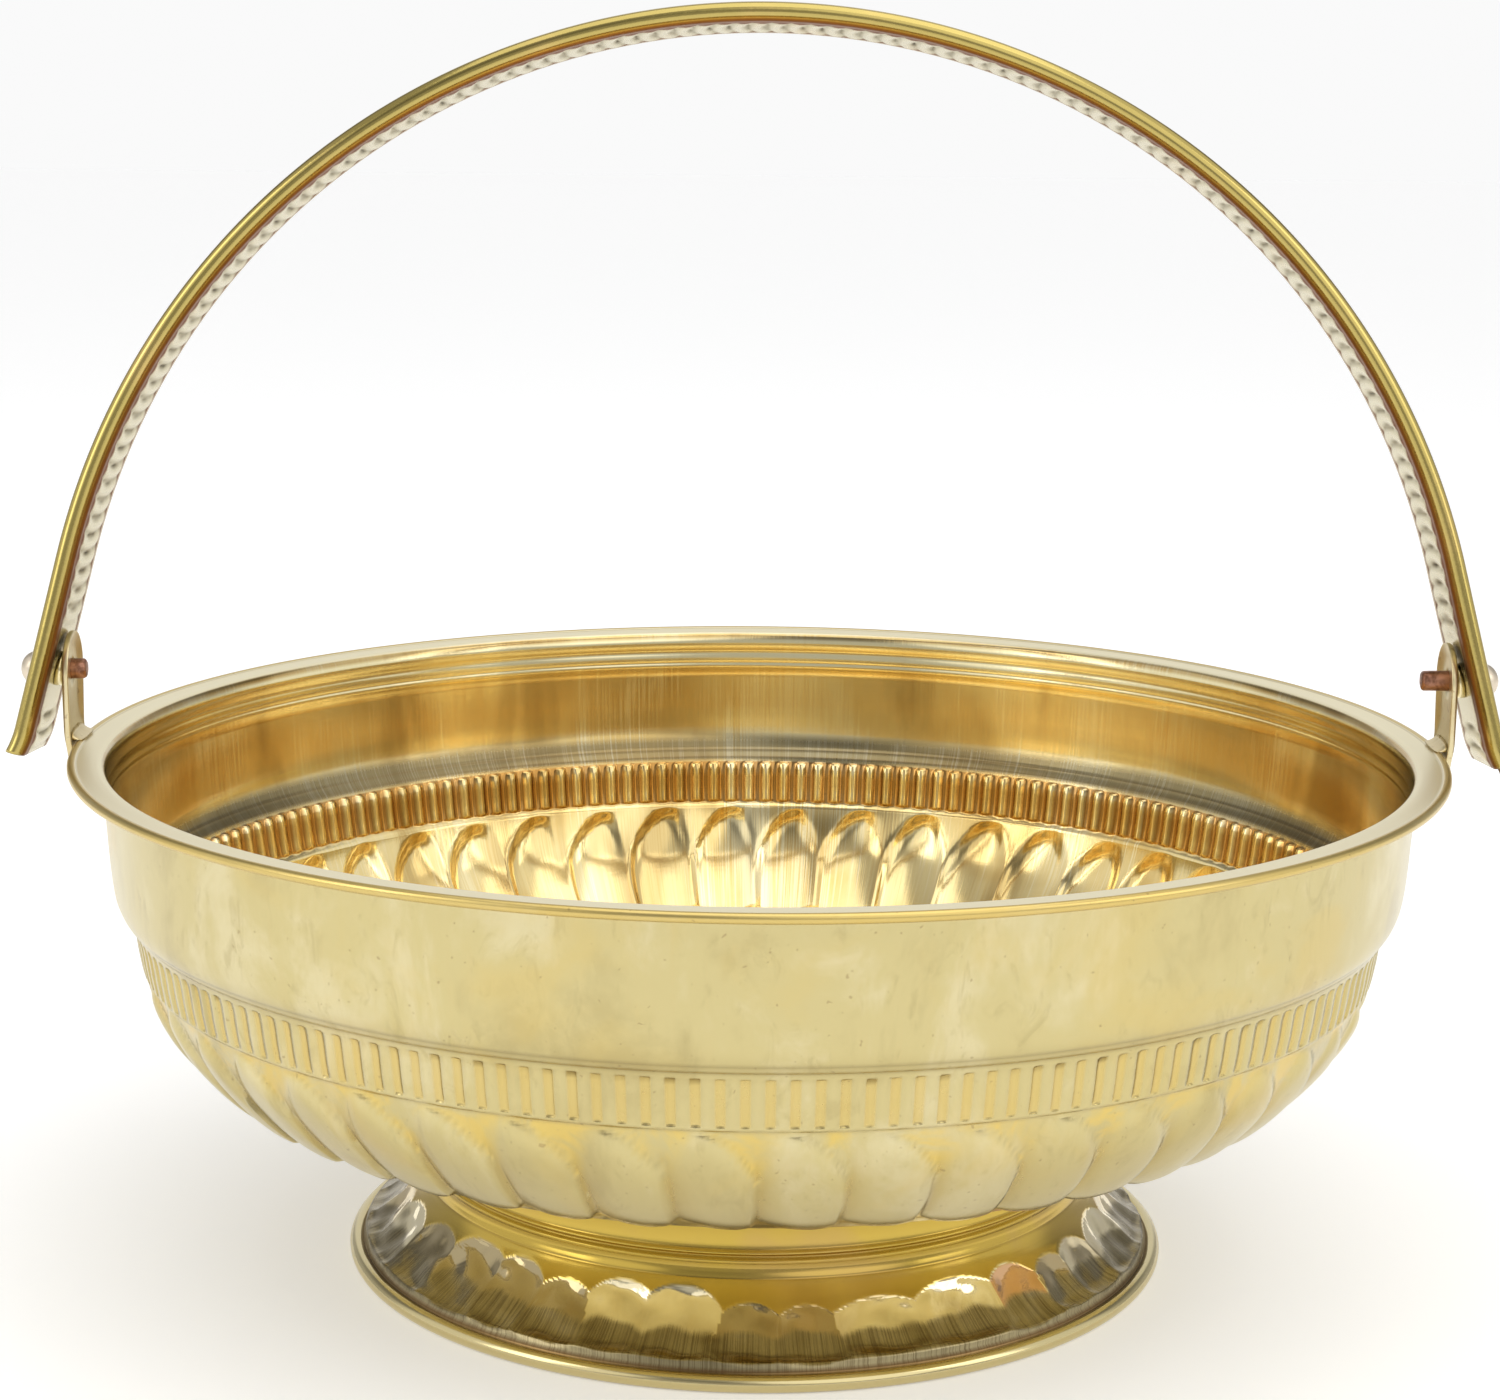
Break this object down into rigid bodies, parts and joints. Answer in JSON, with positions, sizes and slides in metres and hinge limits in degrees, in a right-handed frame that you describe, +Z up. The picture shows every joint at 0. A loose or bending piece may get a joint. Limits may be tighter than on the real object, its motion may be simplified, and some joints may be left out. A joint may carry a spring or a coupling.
{
  "type": "footed basket bowl with bail handle",
  "caption": "Footed round brass bowl with a stepped, fluted wall, flat hemmed lip and an arched bail handle that swings on two lugs above the lip.",
  "frame": {"origin": "centre of the ring the foot stands on", "axes": "+Z up, +X through the two handle pivots to the right, front of the bowl faces -Y"},
  "size_m": [0.2776, 0.254, 0.2329],
  "materials": {
    "bowl": "polished sheet brass, pale outside, deep gold inside",
    "foot": "polished sheet brass with hammered facets",
    "foot_wire": "plain iron wire, hidden",
    "foot_solder_ring": "brazing fillet",
    "ear_left": "bent sheet brass",
    "ear_right": "bent sheet brass",
    "ear_solder_left": "brazing fillet",
    "ear_solder_right": "brazing fillet",
    "handle_strip": "polished sheet brass with a ribbed web",
    "handle_wire_front": "dark iron wire, one end shows",
    "handle_wire_rear": "dark iron wire, hidden",
    "rivet_left": "copper rivet, dull",
    "rivet_right": "copper rivet, dull",
    "spacer_left": "plain brass wedge washer",
    "spacer_right": "plain brass wedge washer"
  },
  "bodies": {
    "basket": {"bowl": "bowl", "foot": "foot", "foot_wire": "foot_wire", "foot_solder_ring": "foot_solder_ring", "ear_left": "ear_left", "ear_right": "ear_right", "ear_solder_left": "ear_solder_left", "ear_solder_right": "ear_solder_right"},
    "handle": {"handle_strip": "handle_strip", "handle_wire_front": "handle_wire_front", "handle_wire_rear": "handle_wire_rear", "rivet_left": "rivet_left", "rivet_right": "rivet_right", "spacer_left": "spacer_left", "spacer_right": "spacer_right"}
  },
  "joints": [
    {"name": "handle_swing", "type": "hinge", "parent": "basket", "child": "handle", "pos_m": [0, 0, 0.11], "axis": [1, 0, 0], "range_deg": [-85, 96.3]}
  ]
}
